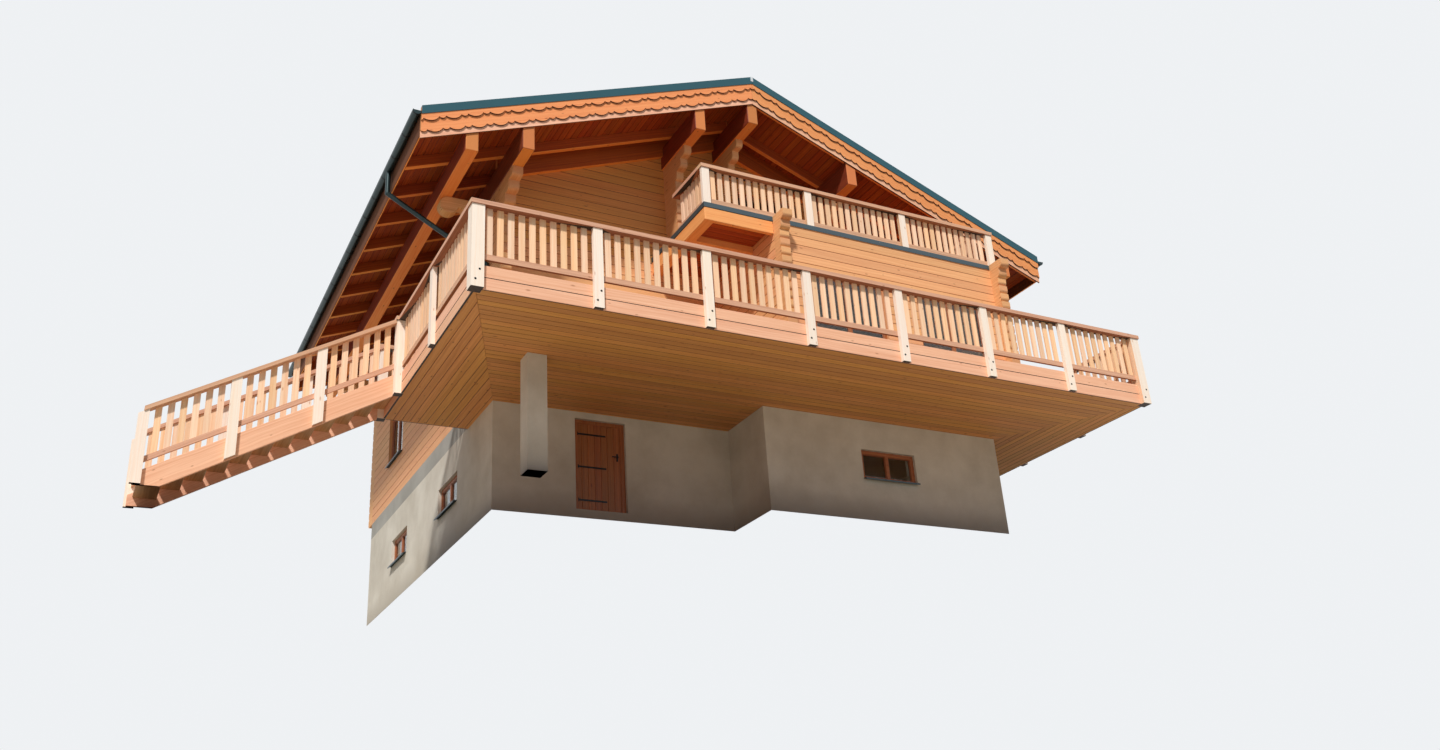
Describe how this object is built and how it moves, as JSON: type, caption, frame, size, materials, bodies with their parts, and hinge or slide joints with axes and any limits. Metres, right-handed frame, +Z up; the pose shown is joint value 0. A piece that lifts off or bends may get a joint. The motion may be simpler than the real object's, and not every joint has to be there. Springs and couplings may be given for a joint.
{
  "type": "alpine chalet",
  "caption": "Alpine timber chalet on a masonry basement, with a raised wrap-around terrace, outside stair, balcony and wide scalloped gable roof.",
  "frame": {"origin": "on the ground, under the middle of the whole building's box", "axes": "+X along the front to the right, +Y from the front to the back, +Z up"},
  "size_m": [17.005, 13.632, 8.8974],
  "materials": {
    "masonry": "rough",
    "deck_timber": "oiled",
    "railing_timber": "oiled",
    "wall_timber": "oiled",
    "roof_timber": "oiled",
    "roof_metal": "satin",
    "joinery": "varnished",
    "glazing": "clear"
  },
  "bodies": {
    "root": {"ground_slab": "masonry", "basement_front_walls": "masonry", "basement_back_wall": "masonry", "basement_left_wall": "masonry", "basement_right_wall": "masonry", "main_floor": "masonry", "terrace_pillar": "masonry", "terrace_joists": "deck_timber", "terrace_soffit": "deck_timber", "terrace_deck": "deck_timber", "terrace_skirts": "deck_timber", "terrace_front_railing": "railing_timber", "terrace_side_railings": "railing_timber", "terrace_back_railings": "railing_timber", "stair_stringers": "deck_timber", "stair_treads": "deck_timber", "stair_railings": "railing_timber", "front_wall": "wall_timber", "back_wall": "wall_timber", "left_wall": "wall_timber", "right_wall": "wall_timber", "room_front_wall": "wall_timber", "room_side_wall": "wall_timber", "attic_floor": "wall_timber", "front_gable": "wall_timber", "back_gable": "wall_timber", "log_ends": "wall_timber", "balcony_floor": "deck_timber", "balcony_edge_beams": "wall_timber", "balcony_flashing": "roof_metal", "balcony_front_railing": "railing_timber", "balcony_side_railings": "railing_timber", "purlins": "roof_timber", "purlin_corbels": "roof_timber", "rafters": "roof_timber", "roof_boarding": "roof_timber", "roof_covering": "roof_metal", "ridge_cap": "roof_metal", "bargeboards": "roof_timber", "verge_flashings": "roof_metal", "eave_fascias": "roof_timber", "gutters_and_downpipes": "roof_metal", "window_frames": "joinery", "window_panes": "glazing", "door_leaves": "joinery"}
  },
  "joints": []
}
